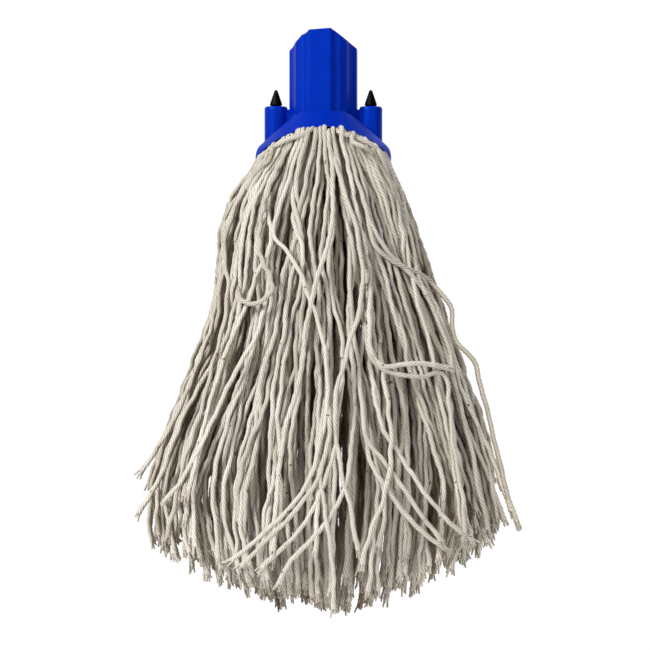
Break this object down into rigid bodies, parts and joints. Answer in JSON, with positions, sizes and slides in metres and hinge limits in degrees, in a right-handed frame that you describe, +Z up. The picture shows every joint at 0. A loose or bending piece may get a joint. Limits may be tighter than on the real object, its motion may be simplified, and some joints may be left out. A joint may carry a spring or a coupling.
{
  "type": "string mop head",
  "caption": "String mop head: a blue moulded socket with a slanted fluted handle tube, a black snap-in yarn clip and hanging bundles of twisted cotton yarn.",
  "frame": {"origin": "on the handle's axis, where the tube's slanted rim crosses it", "axes": "+Z up the handle, -Y the front, +X to the right seen from the front"},
  "size_m": [0.195, 0.1224, 0.306],
  "materials": {
    "socket_plastic": "satin",
    "clip_plastic": "satin",
    "cotton_yarn": "matte"
  },
  "bodies": {
    "root": {"socket": "socket_plastic", "yarn_clip": "clip_plastic", "yarn_core": "cotton_yarn"},
    "bundle_front_1": {"yarn_front_1": "cotton_yarn"},
    "bundle_front_2": {"yarn_front_2": "cotton_yarn"},
    "bundle_front_3": {"yarn_front_3": "cotton_yarn"},
    "bundle_front_4": {"yarn_front_4": "cotton_yarn"},
    "bundle_front_5": {"yarn_front_5": "cotton_yarn"},
    "bundle_front_6": {"yarn_front_6": "cotton_yarn"},
    "bundle_front_7": {"yarn_front_7": "cotton_yarn"},
    "bundle_front_8": {"yarn_front_8": "cotton_yarn"},
    "bundle_front_9": {"yarn_front_9": "cotton_yarn"},
    "bundle_back_1": {"yarn_back_1": "cotton_yarn"},
    "bundle_back_2": {"yarn_back_2": "cotton_yarn"},
    "bundle_back_3": {"yarn_back_3": "cotton_yarn"},
    "bundle_back_4": {"yarn_back_4": "cotton_yarn"},
    "bundle_back_5": {"yarn_back_5": "cotton_yarn"},
    "bundle_back_6": {"yarn_back_6": "cotton_yarn"},
    "bundle_back_7": {"yarn_back_7": "cotton_yarn"},
    "bundle_back_8": {"yarn_back_8": "cotton_yarn"},
    "bundle_back_9": {"yarn_back_9": "cotton_yarn"}
  },
  "joints": [
    {"name": "swing_front_1", "type": "hinge", "parent": "root", "child": "bundle_front_1", "pos_m": [-0.03986, -0.00444, -0.065], "axis": [-0.1107, 0.9938, 0], "range_deg": [0, 60]},
    {"name": "swing_front_2", "type": "hinge", "parent": "root", "child": "bundle_front_2", "pos_m": [-0.03694, -0.01352, -0.065], "axis": [-0.3437, 0.9391, 0], "range_deg": [0, 60]},
    {"name": "swing_front_3", "type": "hinge", "parent": "root", "child": "bundle_front_3", "pos_m": [-0.02981, -0.02268, -0.065], "axis": [-0.6055, 0.7959, 0], "range_deg": [0, 60]},
    {"name": "swing_front_4", "type": "hinge", "parent": "root", "child": "bundle_front_4", "pos_m": [-0.01685, -0.02988, -0.065], "axis": [-0.8711, 0.4912, 0], "range_deg": [0, 60]},
    {"name": "swing_front_5", "type": "hinge", "parent": "root", "child": "bundle_front_5", "pos_m": [0, -0.0322, -0.065], "axis": [-1, 0, 0], "range_deg": [0, 60]},
    {"name": "swing_front_6", "type": "hinge", "parent": "root", "child": "bundle_front_6", "pos_m": [0.01685, -0.02988, -0.065], "axis": [-0.8711, -0.4912, 0], "range_deg": [0, 60]},
    {"name": "swing_front_7", "type": "hinge", "parent": "root", "child": "bundle_front_7", "pos_m": [0.02981, -0.02268, -0.065], "axis": [-0.6055, -0.7959, 0], "range_deg": [0, 60]},
    {"name": "swing_front_8", "type": "hinge", "parent": "root", "child": "bundle_front_8", "pos_m": [0.03694, -0.01352, -0.065], "axis": [-0.3437, -0.9391, 0], "range_deg": [0, 60]},
    {"name": "swing_front_9", "type": "hinge", "parent": "root", "child": "bundle_front_9", "pos_m": [0.03986, -0.00444, -0.065], "axis": [-0.1107, -0.9938, 0], "range_deg": [0, 60]},
    {"name": "swing_back_1", "type": "hinge", "parent": "root", "child": "bundle_back_1", "pos_m": [-0.03986, 0.00444, -0.065], "axis": [0.1107, 0.9938, 0], "range_deg": [0, 60]},
    {"name": "swing_back_2", "type": "hinge", "parent": "root", "child": "bundle_back_2", "pos_m": [-0.03694, 0.01352, -0.065], "axis": [0.3437, 0.9391, 0], "range_deg": [0, 60]},
    {"name": "swing_back_3", "type": "hinge", "parent": "root", "child": "bundle_back_3", "pos_m": [-0.02981, 0.02268, -0.065], "axis": [0.6055, 0.7959, 0], "range_deg": [0, 60]},
    {"name": "swing_back_4", "type": "hinge", "parent": "root", "child": "bundle_back_4", "pos_m": [-0.01685, 0.02988, -0.065], "axis": [0.8711, 0.4912, 0], "range_deg": [0, 60]},
    {"name": "swing_back_5", "type": "hinge", "parent": "root", "child": "bundle_back_5", "pos_m": [0, 0.0322, -0.065], "axis": [1, 0, 0], "range_deg": [0, 60]},
    {"name": "swing_back_6", "type": "hinge", "parent": "root", "child": "bundle_back_6", "pos_m": [0.01685, 0.02988, -0.065], "axis": [0.8711, -0.4912, 0], "range_deg": [0, 60]},
    {"name": "swing_back_7", "type": "hinge", "parent": "root", "child": "bundle_back_7", "pos_m": [0.02981, 0.02268, -0.065], "axis": [0.6055, -0.7959, 0], "range_deg": [0, 60]},
    {"name": "swing_back_8", "type": "hinge", "parent": "root", "child": "bundle_back_8", "pos_m": [0.03694, 0.01352, -0.065], "axis": [0.3437, -0.9391, 0], "range_deg": [0, 60]},
    {"name": "swing_back_9", "type": "hinge", "parent": "root", "child": "bundle_back_9", "pos_m": [0.03986, 0.00444, -0.065], "axis": [0.1107, -0.9938, 0], "range_deg": [0, 60]}
  ]
}
